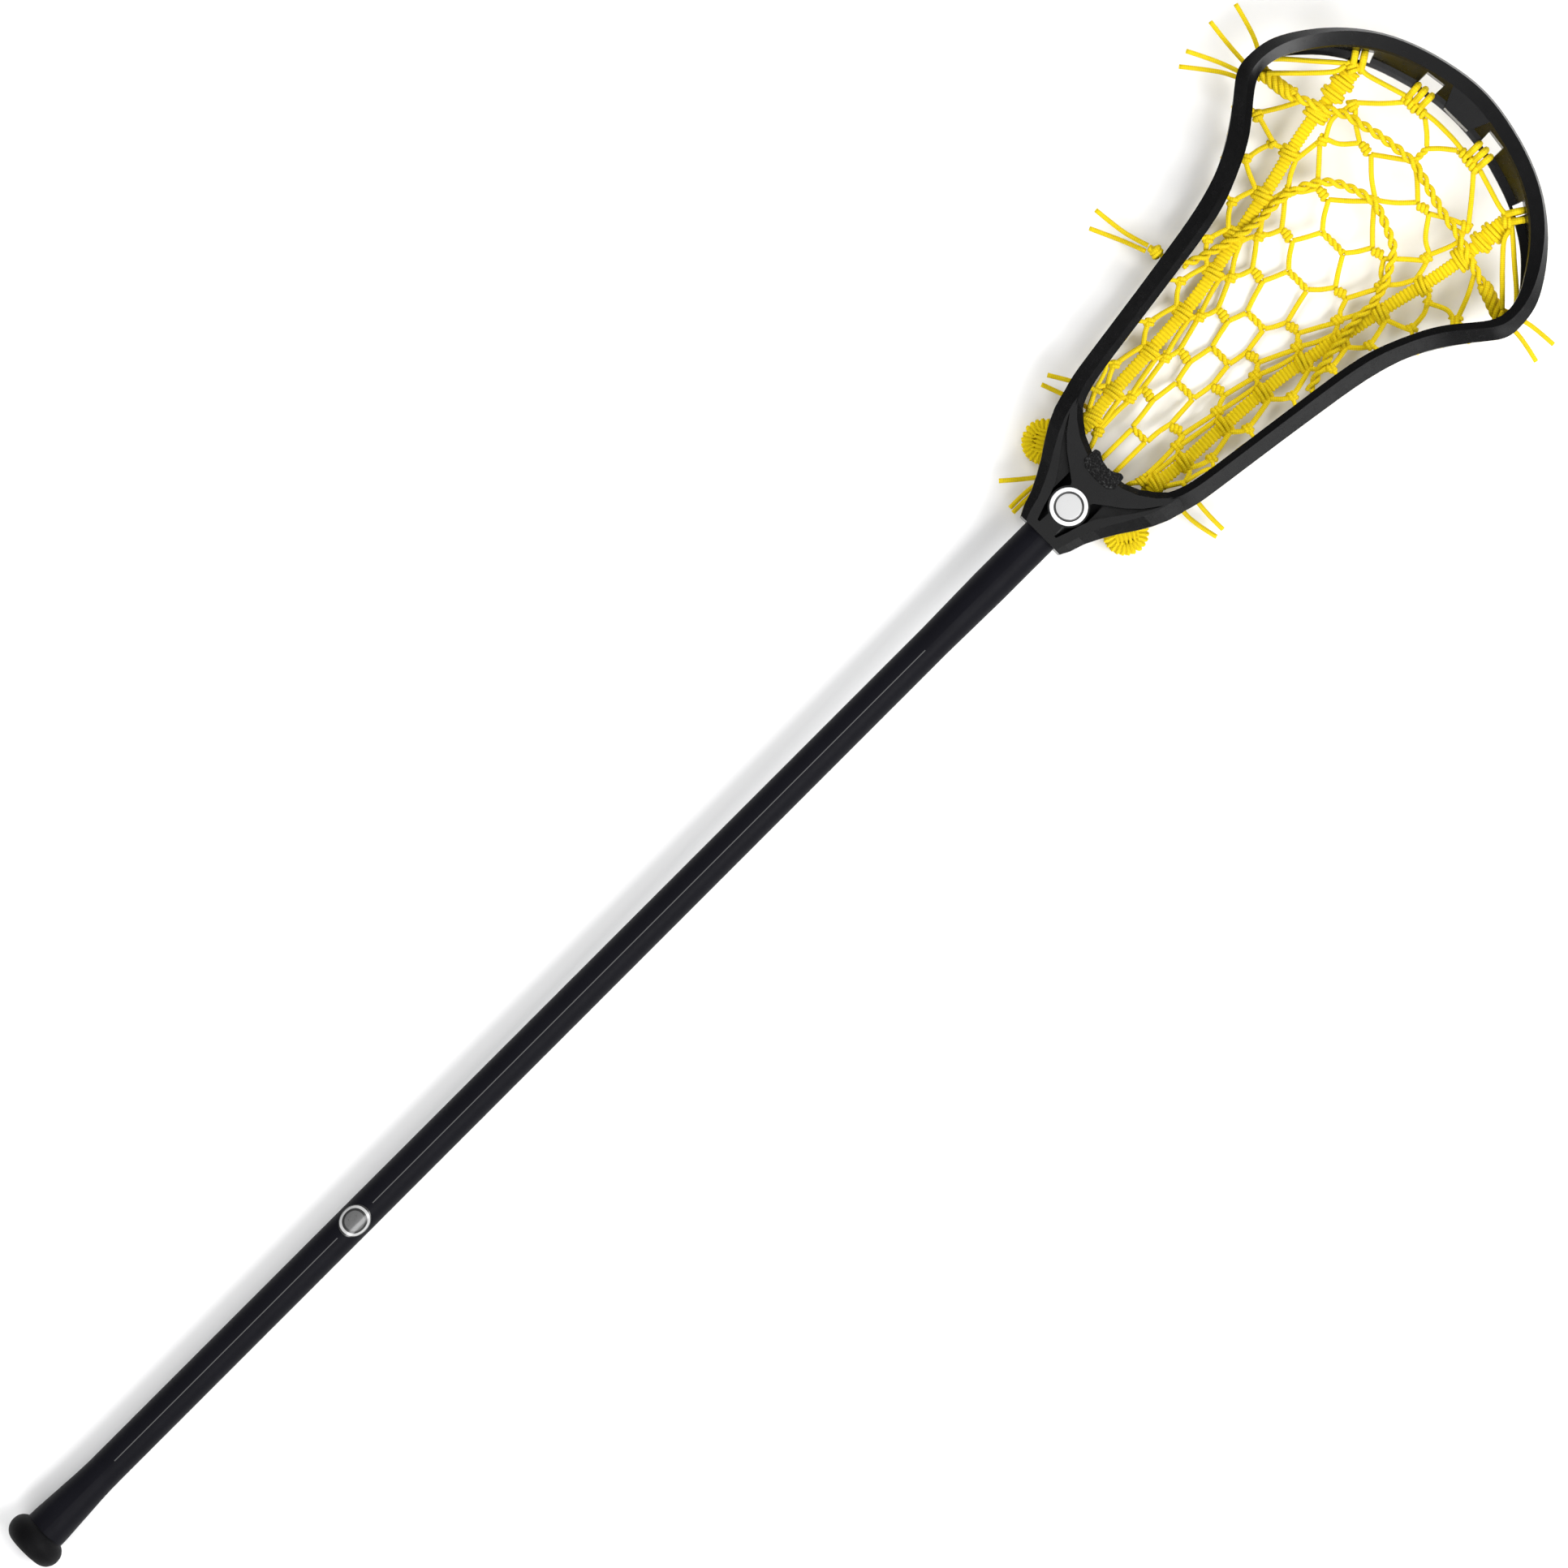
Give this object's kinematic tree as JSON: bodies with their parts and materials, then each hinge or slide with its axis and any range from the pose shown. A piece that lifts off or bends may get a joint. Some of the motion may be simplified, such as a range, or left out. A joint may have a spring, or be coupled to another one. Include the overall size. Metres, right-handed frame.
{
  "type": "lacrosse stick",
  "caption": "Women's field lacrosse stick with a round shaft, an open moulded head and a strung pocket of cord and flat runners that holds the ball.",
  "frame": {"origin": "middle of the butt's flat face, on the shaft's axis", "axes": "+X along the shaft to the scoop, +Y to the stick's left side, +Z out of the open face of the head"},
  "size_m": [1.092, 0.2505, 0.0529],
  "materials": {
    "shaft": "satin",
    "rubber": "matte",
    "head": "satin",
    "screw": "satin",
    "badge": "gloss",
    "foam": "matte",
    "runner": "matte",
    "cord": "matte"
  },
  "bodies": {
    "root": {"shaft_tube": "shaft", "end_cap": "rubber", "shaft_badge": "badge", "head_frame": "head", "head_screw": "screw", "throat_badge": "badge", "ball_stop_pad": "foam", "lace_panel_centre": "cord", "lace_panel_left": "cord", "lace_panel_right": "cord", "runner_left": "runner", "runner_right": "runner", "scoop_lace": "cord", "shooting_string_upper": "cord", "shooting_string_lower": "cord", "sidewall_lace_left": "cord", "sidewall_lace_right": "cord", "tail_knot_left": "cord", "toggle_left": "runner", "toggle_right": "runner", "tail_upper_left_1": "cord", "tail_upper_left_2": "cord", "tail_upper_left_3": "cord", "tail_upper_left_4": "cord", "tail_middle_left_1": "cord", "tail_middle_left_2": "cord", "tail_lower_left_1": "cord", "tail_lower_left_2": "cord", "tail_throat_left_1": "cord", "tail_throat_left_2": "cord", "tail_throat_left_3": "cord", "tail_upper_right_1": "cord", "tail_upper_right_2": "cord", "tail_lower_right_1": "cord", "tail_lower_right_2": "cord"}
  },
  "joints": []
}
